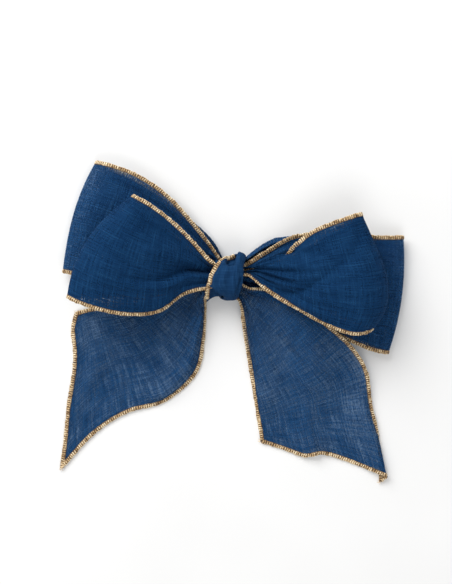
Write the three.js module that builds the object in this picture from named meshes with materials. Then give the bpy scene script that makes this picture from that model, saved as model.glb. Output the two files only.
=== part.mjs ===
// Pre-made gift bow in wired linen ribbon: two back loops, two front loops and two
// tails tied round one knot. The bow lies on its back, its face towards +Z.
// Millimetres. Origin: middle of the flat back of the knot.
import * as THREE from 'three';

// Ribbon, edging and wire
const CLOTH = 0.7;          // thickness of one layer of linen
const GAP = 0.3;            // clearance round a piece that sits inside another
const WIRE = 0.8;           // edge wire, square section
const WALL = 0.5;           // thickness of the overlocked thread
const GRIP = 2.2;           // how far the thread reaches over the linen
const PLAIN_EDGE = 3.4;     // width next to each selvedge that stays out of the pleats

// Steps along and across the modelled ribbon
const LOOP_STEPS = 27;
const TAIL_STEPS = 15;
const LOOP_ACROSS = [0, 0.08, 0.17, 0.27, 0.38, 0.5, 0.62, 0.73, 0.83, 0.92, 1];
const TAIL_ACROSS = [0, 0.05, 0.15, 0.27, 0.39, 0.5, 0.61, 0.73, 0.85, 0.95, 1];

// Knot
const KNOT = { y: -1, z: 17, halfY: 19.5, halfZ: 19.5, wall: 1.6 };

// Each ribbon section: lower and upper selvedge from the knot outwards (and back, for
// a loop), and how far the cloth between them bellies out at each of those stations.
const BACK_LEFT = {
  lower: [[-17.5, -5, 10.5], [-42, -6, 12], [-72, -7, 14.5], [-105, -4, 16.5], [-129, 2, 16.5],
    [-137.5, 4, 9.5], [-128, 3, 3.6], [-100, 0, 2.3], [-60, -4, 2.6], [-17.5, -5, 4.6]],
  upper: [[-14.5, 19.5, 10.5], [-27, 41, 13], [-50, 66, 16], [-76, 83.5, 18.5], [-101, 92.5, 18.5],
    [-110, 94.5, 10.5], [-100, 90.5, 3.6], [-74, 78, 2.3], [-42, 53, 2.6], [-14.5, 18.5, 4.6]],
  belly: [[0, 0, 0], [0, 0, 0.5], [0, 0, 2], [0, 0, 2.5], [-2, 1, 2],
    [-5, 1.5, 0], [-2, 1, -1.4], [0, 0, -0.6], [0, 0, -0.4], [0, 0, 0]],
  skew: -0.3, folds: 3, foldDepth: 1.6,
};
const BACK_RIGHT = {
  lower: [[16, -6, 10.5], [37, -17.5, 11], [63, -33, 12], [95, -51, 12.8], [122, -62, 12.8],
    [133.8, -64, 7.5], [124, -61, 3.3], [98, -50, 2.3], [60, -31, 2.6], [16, -6, 4.6]],
  upper: [[15, 8.5, 11.5], [32.5, 20.5, 13], [59, 33.2, 14.5], [92, 34, 16], [127, 32, 17],
    [146, 32.4, 9.5], [136, 32, 3.5], [104, 31, 2.3], [62, 26, 2.6], [15, 8.5, 4.6]],
  belly: [[0, 0, 0], [0, 0, 0], [0, 0, 0.8], [0, 0, 1.2], [2, 0, 1],
    [5, -1, 0], [2, 0, -1.2], [0, 0, -0.6], [0, 0, -0.4], [0, 0, 0]],
  skew: 0, folds: 3, foldDepth: 1.4,
};
const FRONT_LEFT = {
  lower: [[-18, -10, 26.5], [-36, -15, 29], [-56, -29, 33], [-82, -31.5, 38.5], [-112, -25, 43],
    [-130.5, -17, 37], [-120, -17, 29], [-94, -17, 26], [-58, -13, 25], [-18, -8, 22]],
  upper: [[-15.5, 8.5, 27.5], [-30, 29, 32.5], [-47, 45, 39], [-61, 55.5, 45], [-71, 61.5, 47],
    [-77, 64.5, 40], [-71, 59, 32.5], [-57, 47, 29.5], [-38, 27, 27], [-16.5, 7, 22]],
  belly: [[0, 0, 0], [0, 0, 3], [-1, 0, 7], [-3, 1, 8], [-7, 4.5, 6.5],
    [-9.5, 6.4, 0], [-6, 4, -2.5], [0, 0, -2.5], [0, 0, -1], [0, 0, 0]],
  skew: 0.15, folds: 3, foldDepth: 2.2,
};
const FRONT_RIGHT = {
  lower: [[16, -5, 26.5], [34, -13.5, 28.5], [57, -27.5, 32], [80, -40, 36.5], [103, -47.5, 41],
    [117, -44, 35.5], [109, -40, 28.5], [87, -31, 26], [52, -15, 25], [16.5, -5, 22]],
  upper: [[16, 7.5, 27.5], [34, 15.5, 30], [50, 23, 33.5], [72, 36, 39.5], [95, 46, 44],
    [108.5, 50, 37.5], [102, 45.5, 30], [81, 35, 27.5], [50, 19, 26], [16.5, 7, 22]],
  belly: [[0, 0, 0], [0, 0, 2], [0, 0, 6], [2, 0, 9], [11, -1, 7.5],
    [15.5, -1.5, 0], [9, -1, -2.5], [0, 0, -2.5], [0, 0, -1], [0, 0, 0]],
  skew: 0.8, folds: 3, foldDepth: 2.2,
};
const TAIL_LEFT = {
  lower: [[-16.8, -17.5, 11.5], [-19, -33, 8], [-20.5, -53, 3.5], [-26.5, -80, 1.7],
    [-53, -104.5, 1.3], [-84, -113.5, 1.3], [-112, -131, 1.3], [-139.5, -160.5, 1.3]],
  upper: [[-21.5, -7.5, 17], [-40, -12.5, 14.5], [-62, -17.5, 10.5], [-82, -22, 7],
    [-98, -25, 4.5], [-110, -27, 3], [-120, -29, 2], [-127.5, -31.5, 1.4]],
  belly: [[0, 0, 0], [0, 0, 1.5], [0, 0, 2.5], [2, 1, 1.5],
    [3, 0, 0.4], [4, 0, -0.3], [3, 0, -0.5], [2.5, 3, 0]],
  skew: 0, folds: 2, foldDepth: 1.2,
};
const TAIL_RIGHT = {
  lower: [[11.5, -23.5, 11], [13, -42, 6], [16.5, -64.5, 2.8], [20, -85.5, 1.8],
    [23, -104, 1.6], [25, -117, 1.6], [27, -129, 1.5], [28.3, -138.6, 1.4]],
  upper: [[17.5, -10.5, 16.5], [35, -19.5, 18.6], [57, -29.5, 19.5], [80, -41, 19.6],
    [101, -58, 17], [114.5, -78, 9], [121, -112, 2], [130, -162, 1.4]],
  belly: [[0, 0, 0], [-1, 0, 1], [-2, 0, 1], [-2, -4, 0.5],
    [-1, -5, -0.3], [0, -2, -0.4], [0, 2, -0.4], [-1.5, 3, 0]],
  skew: 0, folds: 2, foldDepth: 1.2,
};

const linen = new THREE.MeshStandardMaterial({ color: 0x1d3f70, roughness: 0.92, side: THREE.DoubleSide });
const goldThread = new THREE.MeshStandardMaterial({ color: 0xb98a4a, roughness: 0.45, metalness: 0.5 });
const edgeWire = new THREE.MeshStandardMaterial({ color: 0xb9b6ae, roughness: 0.35, metalness: 0.9 });
const cinchWire = new THREE.MeshStandardMaterial({ color: 0x3c5a3a, roughness: 0.5, metalness: 0.3 });

const bow = new THREE.Group();
bow.name = 'gift_bow';

function addPiece(name, geometry, material) {
  const mesh = new THREE.Mesh(geometry, material);
  mesh.name = name;
  bow.add(mesh);
}

function smooth(x) {
  const t = Math.min(1, Math.max(0, x));
  return t * t * (3 - 2 * t);
}

function guide(points) {
  const curve = new THREE.CatmullRomCurve3(
    points.map((p) => new THREE.Vector3(...p)), false, 'centripetal');
  return (u) => curve.getPoint(u);
}

// Point on a ribbon section: u runs along the ribbon, v from lower to upper selvedge.
function ribbonSurface(section, loop) {
  const lower = guide(section.lower);
  const upper = guide(section.upper);
  const belly = guide(section.belly);
  const flat = (u, v) => {
    const arch = 4 * v * (1 - v) * (1 + section.skew * (0.5 - v));
    return lower(u).lerp(upper(u), v).addScaledVector(belly(u), arch);
  };
  const normal = (u, v) => {
    const d = 0.004;
    const along = flat(Math.min(1, u + d), v).sub(flat(Math.max(0, u - d), v));
    const across = flat(u, Math.min(1, v + d)).sub(flat(u, Math.max(0, v - d)));
    return along.cross(across).normalize();
  };
  return (u, v) => {
    const reach = loop ? Math.min(u, 1 - u) : u;
    const fade = 1 - smooth(reach / (loop ? 0.2 : 0.3));
    const plain = Math.min(0.3, PLAIN_EDGE / lower(u).distanceTo(upper(u)));
    const window = smooth((v - plain) / 0.14) * smooth((1 - v - plain) / 0.14);
    const depth = section.foldDepth * fade * window * Math.cos(2 * Math.PI * section.folds * v);
    return flat(u, v).addScaledVector(normal(u, v), depth);
  };
}

function steps(count) {
  return Array.from({ length: count + 1 }, (_, i) => i / count);
}

function solid(vertices, index) {
  const geometry = new THREE.BufferGeometry();
  geometry.setAttribute('position',
    new THREE.Float32BufferAttribute(vertices.flatMap((p) => [p.x, p.y, p.z]), 3));
  geometry.setIndex(index);
  geometry.computeVertexNormals();
  return geometry;
}

// A layer of cloth of even thickness over the whole section.
function clothSheet(surface, along, across) {
  const rows = along.length;
  const cols = across.length;
  const mid = along.map((u) => across.map((v) => surface(u, v)));
  const at = (i, j) => mid[Math.min(rows - 1, Math.max(0, i))][Math.min(cols - 1, Math.max(0, j))];
  const face = [];
  const back = [];
  for (let i = 0; i < rows; i += 1) {
    for (let j = 0; j < cols; j += 1) {
      const du = at(i + 1, j).clone().sub(at(i - 1, j));
      const dv = at(i, j + 1).clone().sub(at(i, j - 1));
      const n = du.cross(dv).normalize().multiplyScalar(CLOTH / 2);
      face.push(at(i, j).clone().add(n));
      back.push(at(i, j).clone().sub(n));
    }
  }
  const index = [];
  const half = rows * cols;
  const quad = (a, b, c, d) => index.push(a, b, c, a, c, d);
  for (let i = 0; i < rows - 1; i += 1) {
    for (let j = 0; j < cols - 1; j += 1) {
      const a = i * cols + j;
      quad(a, a + cols, a + cols + 1, a + 1);
      quad(half + a, half + a + 1, half + a + cols + 1, half + a + cols);
    }
  }
  for (let i = 0; i < rows - 1; i += 1) {
    const a = i * cols;
    const b = a + cols - 1;
    quad(a, half + a, half + a + cols, a + cols);
    quad(b, b + cols, half + b + cols, half + b);
  }
  for (let j = 0; j < cols - 1; j += 1) {
    const a = j;
    const b = (rows - 1) * cols + j;
    quad(a, a + 1, half + a + 1, half + a);
    quad(b, half + b, half + b + 1, b + 1);
  }
  return solid([...face, ...back], index);
}

// Frames along one edge of a sheet: the edge, the direction off the cloth, the cloth
// normal, and the same a grip's depth in from the edge.
function edgeFrames(points, inwardAt) {
  const alongAt = (list, i) => (
    list[Math.min(list.length - 1, i + 1)].clone().sub(list[Math.max(0, i - 1)]).normalize());
  const slant = points.map((p, i) => {
    const along = alongAt(points, i);
    const off = p.clone().sub(inwardAt(i, 1)).normalize();
    return { along, off, stretch: Math.min(1.6, 1 / Math.sqrt(1 - off.dot(along) ** 2)) };
  });
  const inner = points.map((_, i) => inwardAt(i, GRIP * slant[i].stretch));
  return points.map((p, i) => {
    const { along, off, stretch } = slant[i];
    return {
      p,
      q: inner[i],
      off: off.clone().multiplyScalar(stretch),
      n: along.clone().cross(off).normalize(),
      nq: alongAt(inner, i).cross(off).normalize(),
    };
  });
}

function sweep(frames, outline, closed = false) {
  const count = outline.length;
  const vertices = frames.flatMap((f) => outline.map(([a, b]) => (a < 0 && f.q
    ? f.q.clone().addScaledVector(f.nq, b)
    : f.p.clone().addScaledVector(f.off, a).addScaledVector(f.n, b))));
  const index = [];
  const rings = closed ? frames.length : frames.length - 1;
  for (let i = 0; i < rings; i += 1) {
    const a0 = i * count;
    const b0 = ((i + 1) % frames.length) * count;
    for (let k = 0; k < count; k += 1) {
      const l = (k + 1) % count;
      index.push(a0 + k, a0 + l, b0 + l, a0 + k, b0 + l, b0 + k);
    }
  }
  if (!closed) {
    const shape = outline.map(([a, b]) => new THREE.Vector2(a, b));
    const end = (frames.length - 1) * count;
    THREE.ShapeUtils.triangulateShape(shape, []).forEach(([a, b, c]) => {
      index.push(c, b, a, end + a, end + b, end + c);
    });
  }
  return solid(vertices, index);
}

// Overlocked thread: a channel that grips the selvedge, with room for the wire.
const SLOT = CLOTH / 2 + GAP;
const CHANNEL = [
  [-GRIP, -SLOT - WALL], [GAP * 2 + WIRE + WALL, -SLOT - WALL],
  [GAP * 2 + WIRE + WALL, SLOT + WALL], [-GRIP, SLOT + WALL],
  [-GRIP, SLOT], [GAP * 2 + WIRE, SLOT], [GAP * 2 + WIRE, -SLOT], [-GRIP, -SLOT],
];
const WIRE_SECTION = [
  [GAP, -WIRE / 2], [GAP + WIRE, -WIRE / 2], [GAP + WIRE, WIRE / 2], [GAP, WIRE / 2],
];

function addSelvedge(name, surface, along, v) {
  const frames = edgeFrames(along.map((u) => surface(u, v)), (i, depth) => {
    const share = depth / surface(along[i], 0).distanceTo(surface(along[i], 1));
    return surface(along[i], v === 0 ? share : 1 - share);
  });
  addPiece(`${name}_edging`, sweep(frames, CHANNEL), goldThread);
  addPiece(`${name}_wire`, sweep(frames, WIRE_SECTION), edgeWire);
}

function addLoop(name, section) {
  const surface = ribbonSurface(section, true);
  const along = steps(LOOP_STEPS);
  addPiece(name, clothSheet(surface, along, LOOP_ACROSS), linen);
  addSelvedge(`${name}_lower`, surface, along, 0);
  addSelvedge(`${name}_upper`, surface, along, 1);
}

function addTail(name, section) {
  const surface = ribbonSurface(section, false);
  const along = steps(TAIL_STEPS);
  addPiece(name, clothSheet(surface, along, TAIL_ACROSS), linen);
  addSelvedge(`${name}_inner`, surface, along, 0);
  addSelvedge(`${name}_outer`, surface, along, 1);
  const across = TAIL_ACROSS.slice(1, -1);
  const hem = edgeFrames(across.map((v) => surface(1, v)), (i, depth) => {
    const inward = surface(1 - 1 / TAIL_STEPS, across[i]);
    const edge = surface(1, across[i]);
    return edge.clone().lerp(inward, depth / edge.distanceTo(inward));
  });
  addPiece(`${name}_end_hem`, sweep(hem, CHANNEL), goldThread);
}

addLoop('back_loop_left', BACK_LEFT);
addLoop('back_loop_right', BACK_RIGHT);
addLoop('front_loop_left', FRONT_LEFT);
addLoop('front_loop_right', FRONT_RIGHT);
addTail('tail_left', TAIL_LEFT);
addTail('tail_right', TAIL_RIGHT);

// Knot wrap: a band round the gathered ribbons, flat where it lies on its back.
function knotPoint(turn, inset, x, crown) {
  const c = Math.cos(turn);
  const s = Math.sin(turn);
  const bend = (value) => Math.sign(value) * Math.abs(value) ** 0.85;
  const y = KNOT.y + (KNOT.halfY - inset - crown) * bend(c);
  const z = KNOT.z + (KNOT.halfZ - inset - crown) * bend(s);
  return new THREE.Vector3(x, y, Math.max(inset, z));
}

// Left and right rim of the wrap: it runs slightly askew, narrower at the top left.
function knotRims(turn) {
  const top = smooth((Math.cos(turn) + 0.25) / 1.25);
  const front = smooth(Math.sin(turn) + 0.6);
  return [-11.2 + 10 * top * front, 12.5 - 3.5 * smooth(-Math.cos(turn))];
}

const KNOT_TURNS = 32;
const KNOT_ACROSS = [0, 0.12, 0.37, 0.63, 0.88, 1];
const CROWN = [1.1, 0.3, 0, 0, 0.3, 1.1];

function wrapBand() {
  const vertices = [];
  const sides = KNOT_ACROSS.length;
  for (let i = 0; i < KNOT_TURNS; i += 1) {
    const turn = (2 * Math.PI * i) / KNOT_TURNS;
    const [left, right] = knotRims(turn);
    const low = Math.sin(turn) < -0.5 ? 0 : 1;
    const point = (inset, k) => (
      knotPoint(turn, inset, left + (right - left) * KNOT_ACROSS[k], CROWN[k] * low));
    KNOT_ACROSS.forEach((_, k) => vertices.push(point(0, k)));
    KNOT_ACROSS.forEach((_, k) => vertices.push(point(KNOT.wall, sides - 1 - k)));
  }
  const count = sides * 2;
  const index = [];
  for (let i = 0; i < KNOT_TURNS; i += 1) {
    const a0 = i * count;
    const b0 = ((i + 1) % KNOT_TURNS) * count;
    for (let k = 0; k < count; k += 1) {
      const l = (k + 1) % count;
      index.push(a0 + k, b0 + k, b0 + l, a0 + k, b0 + l, a0 + l);
    }
  }
  return solid(vertices, index);
}
addPiece('knot_wrap', wrapBand(), linen);

// Overlocked selvedge showing along the left rim of the knot.
const rimTurns = steps(16).map((t) => THREE.MathUtils.degToRad(24 + 122 * t));
const rimFrames = rimTurns.map((turn) => {
  const p = knotPoint(turn, 1.2, knotRims(turn)[0] - GAP, 1.1);
  return { p, off: new THREE.Vector3(-1, 0, 0), n: new THREE.Vector3(0, -Math.cos(turn), -Math.sin(turn)) };
});
addPiece('knot_wrap_edging', sweep(rimFrames, [[0, -1], [3, -1.1], [3.6, 0], [3, 1.1], [0, 1]]),
  goldThread);

// Gathered ribbon inside the knot: a pleated bundle, waisted where a wire cinches it.
function bundle(z, halfY, halfZ, left, right, waist, pleats) {
  const stations = steps(8);
  const around = 24;
  const frames = [];
  stations.forEach((t) => {
    const x = left + (right - left) * t;
    const scale = 1 - waist * Math.exp(-(((x + 0.5) / 2.6) ** 2));
    for (let k = 0; k < around; k += 1) {
      const a = (2 * Math.PI * k) / around;
      const r = scale * (1 + (k % 2 ? -pleats : pleats));
      frames.push(new THREE.Vector3(x, KNOT.y + halfY * r * Math.cos(a), z + halfZ * r * Math.sin(a)));
    }
  });
  const index = [];
  for (let i = 0; i < stations.length - 1; i += 1) {
    for (let k = 0; k < around; k += 1) {
      const l = (k + 1) % around;
      const [a, b] = [i * around, (i + 1) * around];
      index.push(a + k, a + l, b + l, a + k, b + l, b + k);
    }
  }
  const end = (stations.length - 1) * around;
  for (let k = 1; k < around - 1; k += 1) index.push(0, k + 1, k, end, end + k, end + k + 1);
  return solid(frames, index);
}
addPiece('back_ribbon_gather', bundle(8.6, 12.5, 5.6, -10.5, 9, 0.3, 0.05), linen);
addPiece('front_ribbon_gather', bundle(24.4, 12.5, 8, -10.5, 9, 0.1, 0.05), linen);

// Cinch wire: one turn round the back gather, its two ends twisted off to the side.
const CINCH = { x: -0.5, y: KNOT.y, z: 8.6, halfY: 10.4, halfZ: 5.2, radius: 0.45 };
const cinchPath = [];
steps(20).forEach((t) => {
  const a = Math.PI * (0.04 + 1.92 * t);
  cinchPath.push(new THREE.Vector3(
    CINCH.x, CINCH.y + CINCH.halfY * Math.cos(a), CINCH.z + CINCH.halfZ * Math.sin(a)));
});
cinchPath.unshift(new THREE.Vector3(CINCH.x, CINCH.y + CINCH.halfY + 3.6, CINCH.z + 0.75));
cinchPath.push(new THREE.Vector3(CINCH.x, CINCH.y + CINCH.halfY + 3.6, CINCH.z - 0.75));
const cinchFrames = cinchPath.map((p, i) => {
  const before = cinchPath[Math.max(0, i - 1)];
  const after = cinchPath[Math.min(cinchPath.length - 1, i + 1)];
  const along = after.clone().sub(before).normalize();
  const off = new THREE.Vector3(1, 0, 0);
  return { p, off, n: along.cross(off) };
});
const roundWire = [0, 1, 2, 3, 4, 5].map((k) => [
  CINCH.radius * Math.cos((k * Math.PI) / 3), CINCH.radius * Math.sin((k * Math.PI) / 3)]);
addPiece('cinch_wire', sweep(cinchFrames, roundWire), cinchWire);

export default bow;
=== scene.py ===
import bpy
import math
import numpy as np
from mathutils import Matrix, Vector


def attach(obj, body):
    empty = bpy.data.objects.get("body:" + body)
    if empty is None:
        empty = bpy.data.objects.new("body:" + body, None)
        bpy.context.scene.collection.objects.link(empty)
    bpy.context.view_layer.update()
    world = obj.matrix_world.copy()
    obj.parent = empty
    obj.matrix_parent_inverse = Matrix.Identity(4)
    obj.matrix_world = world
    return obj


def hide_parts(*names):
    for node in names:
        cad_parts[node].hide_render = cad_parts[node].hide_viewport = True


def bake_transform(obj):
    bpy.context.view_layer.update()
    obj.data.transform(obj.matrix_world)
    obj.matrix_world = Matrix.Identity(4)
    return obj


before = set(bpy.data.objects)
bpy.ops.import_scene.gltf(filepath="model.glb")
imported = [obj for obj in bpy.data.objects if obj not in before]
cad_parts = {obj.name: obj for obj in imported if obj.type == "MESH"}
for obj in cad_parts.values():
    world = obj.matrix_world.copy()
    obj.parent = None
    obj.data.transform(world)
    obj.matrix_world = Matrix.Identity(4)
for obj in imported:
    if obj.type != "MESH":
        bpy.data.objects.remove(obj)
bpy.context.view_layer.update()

MM = 0.001
RIBBON = 0.100             # width of the ribbon, m
CLOTH = 0.45 * MM          # thickness of the linen
STITCH = 1.9 * MM          # overlock stitch pitch
STITCH_POINTS = 12         # points round one stitch
WEAVE_PITCH = 0.95 * MM    # from one thread to the next but one
LOOP_GRID = (190, 72)      # points along and across a loop
TAIL_GRID = (140, 96)      # points along and across a tail
CLEAR = 1.35 * MM          # height of the cloth's middle over the table where it lies flat

# ---------------------------------------------------------------- small maths


def smooth(x):
    t = np.clip(x, 0.0, 1.0)
    return t * t * (3 - 2 * t)


def unit(a):
    return a / np.maximum(np.linalg.norm(a, axis=-1, keepdims=True), 1e-12)


def span_step(a, b):
    """Square root of the distance from a to b: the step of a centripetal curve."""
    return np.maximum(np.sum((a - b) ** 2, 1) ** 0.25, 1e-6)[:, None]


def guide(points, u):
    """Centripetal Catmull-Rom curve through points, at u from 0 to 1 by station."""
    p = np.array(points, float)
    p = np.vstack([2 * p[0] - p[1], p, 2 * p[-1] - p[-2]])
    count = len(p) - 3
    place = np.clip(np.asarray(u, float), 0, 1) * count
    i = np.minimum(place.astype(int), count - 1)
    t = (place - i)[:, None]
    p0, p1, p2, p3 = p[i], p[i + 1], p[i + 2], p[i + 3]
    d0, d1, d2 = span_step(p0, p1), span_step(p1, p2), span_step(p2, p3)
    m1 = ((p1 - p0) / d0 - (p2 - p0) / (d0 + d1) + (p2 - p1) / d1) * d1
    m2 = ((p2 - p1) / d1 - (p3 - p1) / (d1 + d2) + (p3 - p2) / d2) * d1
    return (p1 + m1 * t + (-3 * p1 + 3 * p2 - 2 * m1 - m2) * t ** 2
            + (2 * p1 - 2 * p2 + m1 + m2) * t ** 3)


def grid_normals(p):
    du = np.gradient(p, axis=0)
    dv = np.gradient(p, axis=1)
    return unit(np.cross(du, dv))


# ---------------------------------------------------------------- meshes


def new_mesh(name, vertices, faces, material, uvs=None, smooth_shade=True):
    mesh = bpy.data.meshes.new(name)
    mesh.from_pydata(np.asarray(vertices).tolist(), [], faces)
    if uvs is not None:
        layer = mesh.uv_layers.new(name="weave")
        loops = np.empty(len(mesh.loops), int)
        mesh.loops.foreach_get("vertex_index", loops)
        layer.data.foreach_set("uv", np.asarray(uvs, np.float32)[loops].ravel())
    if smooth_shade:
        mesh.shade_smooth()
    mesh.materials.append(material)
    obj = bpy.data.objects.new(name, mesh)
    bpy.context.scene.collection.objects.link(obj)
    return obj


def cloth_mesh(name, mid, uv, material, thickness=CLOTH):
    """Closed sheet of even thickness round a grid of points."""
    rows, cols = mid.shape[:2]
    n = grid_normals(mid) * thickness / 2
    vertices = np.vstack([(mid + n).reshape(-1, 3), (mid - n).reshape(-1, 3)])
    half = rows * cols
    i, j = np.meshgrid(np.arange(rows - 1), np.arange(cols - 1), indexing="ij")
    a = (i * cols + j).ravel()
    top = np.stack([a, a + cols, a + cols + 1, a + 1], 1)
    under = np.stack([a + 1, a + cols + 1, a + cols, a], 1) + half
    k = np.arange(rows - 1) * cols
    left = np.stack([k, k + half, k + half + cols, k + cols], 1)
    r = k + cols - 1
    right = np.stack([r, r + cols, r + cols + half, r + half], 1)
    m = np.arange(cols - 1)
    first = np.stack([m, m + 1, m + 1 + half, m + half], 1)
    e = (rows - 1) * cols + m
    last = np.stack([e, e + half, e + half + 1, e + 1], 1)
    faces = np.vstack([top, under, left, right, first, last])
    uvs = np.vstack([uv.reshape(-1, 2)] * 2)
    return new_mesh(name, vertices, faces.tolist(), material, uvs)


def ring_faces(rings, points, closed=False):
    """Faces between rings of points, the last ring joined to the first if closed."""
    i, k = np.meshgrid(np.arange(rings if closed else rings - 1), np.arange(points), indexing="ij")
    i, k = i.ravel(), k.ravel()
    next_i, next_k = (i + 1) % rings, (k + 1) % points
    return np.stack([i * points + k, i * points + next_k, next_i * points + next_k,
                     next_i * points + k], 1)


def end_faces(rings, points):
    """The two faces that close a row of rings."""
    return [list(range(points))[::-1], [(rings - 1) * points + k for k in range(points)]]


def tube(path, side, up, section):
    """Vertices and faces of a tube: at each path point, section (a, b) along side, up."""
    count, ring = len(path), len(section)
    vertices = (path[:, None] + side[:, None] * section[None, :, :1]
                + up[:, None] * section[None, :, 1:]).reshape(-1, 3)
    return vertices, ring_faces(count, ring).tolist() + end_faces(count, ring)


def joined(name, chunks, material):
    """One object of many closed chunks of vertices and faces."""
    vertices, faces, base = [], [], 0
    for v, f in chunks:
        vertices.append(v)
        faces.extend([[i + base for i in q] for q in f])
        base += len(v)
    return new_mesh(name, np.vstack(vertices), faces, material)


def ellipse(rx, ry, sides):
    a = np.arange(sides) * 2 * math.pi / sides
    return np.stack([rx * np.cos(a), ry * np.sin(a)], 1)


# ---------------------------------------------------------------- gold overlocking


def resample(points, step):
    """Row positions (fractional) at even arc length along a line of points."""
    seg = np.linalg.norm(np.diff(points, axis=0), axis=1)
    length = np.concatenate([[0], np.cumsum(seg)])
    count = max(4, int(round(length[-1] / step)))
    return np.interp(np.linspace(0, length[-1], count + 1), length, np.arange(len(points)))


def at_rows(points, rows):
    i = np.clip(rows.astype(int), 0, len(points) - 2)
    t = (rows - i)[:, None]
    return points[i] * (1 - t) + points[i + 1] * t


# Threads wound round the edge: phase in turns, half width mm, half height mm, half thickness mm.
TOP_THREAD = (0, 1.55, 0.66, 0.50)
UNDER_THREAD = (0.5, 1.4, 0.5, 0.36)
THREAD_DEPTH = 0.26 * MM
EDGE_INSET = 0.25 * MM     # from the cloth's edge in to the middle of the stitches


def wound_thread(kind, turns, uneven, drift, p, o, n, t):
    """A thread wound round the edge points p, whose axes are o outwards, n up and t along."""
    phase, wide, high, thread = kind
    a = (turns + drift) * 2 * math.pi
    c, s = np.cos(a + phase * 2 * math.pi), np.sin(a + phase * 2 * math.pi)
    half_width, half_height = wide * MM * uneven, high * MM
    across = np.sign(c) * np.abs(c) ** 0.8 * half_width
    rise = np.sign(s) * np.abs(s) ** 0.8 * half_height * (1 + 0.18 * c)
    lean = (0.7 if kind is TOP_THREAD else -0.5) * MM * c * np.sign(s) * np.abs(s) ** 0.5
    path = p + o * (across - EDGE_INSET)[:, None] + n * rise[:, None] + t * lean[:, None]
    tangent = unit(np.gradient(path, axis=0))
    radial = unit(o * (c / wide)[:, None] + n * (s / high)[:, None])
    side = unit(np.cross(tangent, radial))
    return tube(path, side, np.cross(side, tangent), ellipse(thread * MM, THREAD_DEPTH, 5))


def frayed_threads(rng, edge, along, off, end, spread):
    """Loose thread ends, 1.5 to 3.8 mm long, at one end of an edge."""
    chunks = []
    for _ in range(5):
        root = edge[end] + off[end] * rng.uniform(-1, 1) * MM
        away = along[end] * (1 if end else -1) + off[end] * rng.uniform(-spread, spread)
        away[2] = 0.05
        reach = np.linspace(0, rng.uniform(1.5, 3.8) * MM, 6)[:, None]
        curl = off[end] * (np.sin(reach * 900 * rng.uniform(0.5, 1.2)) * 0.5 * MM)
        line = root + unit(away) * reach + curl
        line[:, 2] = np.maximum(line[:, 2], 0.4 * MM)
        ahead = unit(np.gradient(line, axis=0))
        side = unit(np.cross(ahead, np.array([0.0, 0, 1.0])))
        chunks.append(tube(line, side, np.cross(side, ahead), ellipse(0.16 * MM, 0.16 * MM, 5)))
    return chunks


def overlock(name, edge, inner, gold, core_gold_painted_shade, frays=()):
    """Overlocked edging on the line edge; inner is the cloth a little way in from it."""
    rng = np.random.default_rng(sum(ord(c) for c in name))
    along = unit(np.gradient(edge, axis=0))
    off = edge - inner
    off = unit(off - along * np.sum(off * along, 1, keepdims=True))
    up = np.cross(along, off)
    rows = resample(edge, STITCH / STITCH_POINTS)
    p, o, n = at_rows(edge, rows), unit(at_rows(off, rows)), unit(at_rows(up, rows))
    t = unit(at_rows(along, rows))
    turns = np.arange(len(rows)) / STITCH_POINTS
    knots = int(turns[-1]) + 3
    uneven = np.interp(turns, np.arange(knots), rng.uniform(0.72, 1.15, knots))
    drift = np.interp(turns, np.arange(knots), rng.uniform(-0.17, 0.17, knots))
    stitches = [wound_thread(TOP_THREAD, turns, uneven, drift, p, o, n, t)]
    # The under thread, the core and its two cords take the darker gold: painted shade in the gaps between
    # the stitches.
    core = [wound_thread(UNDER_THREAD, turns, uneven, drift, p, o, n, t)]
    for end, spread in frays:
        stitches += frayed_threads(rng, edge, along, off, end, spread)
    rows = resample(edge, 1.5 * MM)
    p, o, n = at_rows(edge, rows), unit(at_rows(off, rows)), unit(at_rows(up, rows))
    core.append(tube(p - o * EDGE_INSET, o, n, ellipse(1.4 * MM, 0.44 * MM, 8)))
    for sign in (-1, 1):
        line = p - o * (EDGE_INSET + 1.5 * MM) + n * sign * 0.45 * MM
        core.append(tube(line, o, n, ellipse(0.28 * MM, 0.26 * MM, 5)))
    return joined(name, stitches, gold), joined(name + "_core", core, core_gold_painted_shade)


# ---------------------------------------------------------------- materials


def nodes_of(name):
    """A new material, its node tree and its output."""
    m = bpy.data.materials.new(name)
    m.use_nodes = True
    t = m.node_tree
    t.nodes.clear()
    out = t.nodes.new("ShaderNodeOutputMaterial")
    return m, t, out


def math_node(t, op, a, b=None, c=None):
    n = t.nodes.new("ShaderNodeMath")
    n.operation = op
    for k, v in enumerate((a, b, c)):
        if v is None:
            continue
        if isinstance(v, (int, float)):
            n.inputs[k].default_value = v
        else:
            t.links.new(v, n.inputs[k])
    return n.outputs[0]


def weighted(t, a, a_share, b, b_share):
    return math_node(t, "ADD", math_node(t, "MULTIPLY", a, a_share), math_node(t, "MULTIPLY", b, b_share))


def weave_uv(t):
    n = t.nodes.new("ShaderNodeUVMap")
    n.uv_map = "weave"
    return n.outputs[0]


def noise(t, vector, scale, detail=2.0, rough=0.5):
    n = t.nodes.new("ShaderNodeTexNoise")
    n.inputs["Scale"].default_value = scale
    n.inputs["Detail"].default_value = detail
    n.inputs["Roughness"].default_value = rough
    t.links.new(vector, n.inputs["Vector"])
    return n.outputs["Fac"]


def stretched(t, vector, sx, sy):
    n = t.nodes.new("ShaderNodeMapping")
    n.inputs["Scale"].default_value = (sx, sy, 1)
    t.links.new(vector, n.inputs["Vector"])
    return n.outputs[0]


def ramp(t, fac, stops):
    n = t.nodes.new("ShaderNodeValToRGB")
    t.links.new(fac, n.inputs[0])
    e = n.color_ramp.elements
    while len(e) < len(stops):
        e.new(0.5)
    for k, (pos, col) in enumerate(stops):
        e[k].position = pos
        e[k].color = (*col, 1)
    return n.outputs[0]


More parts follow.
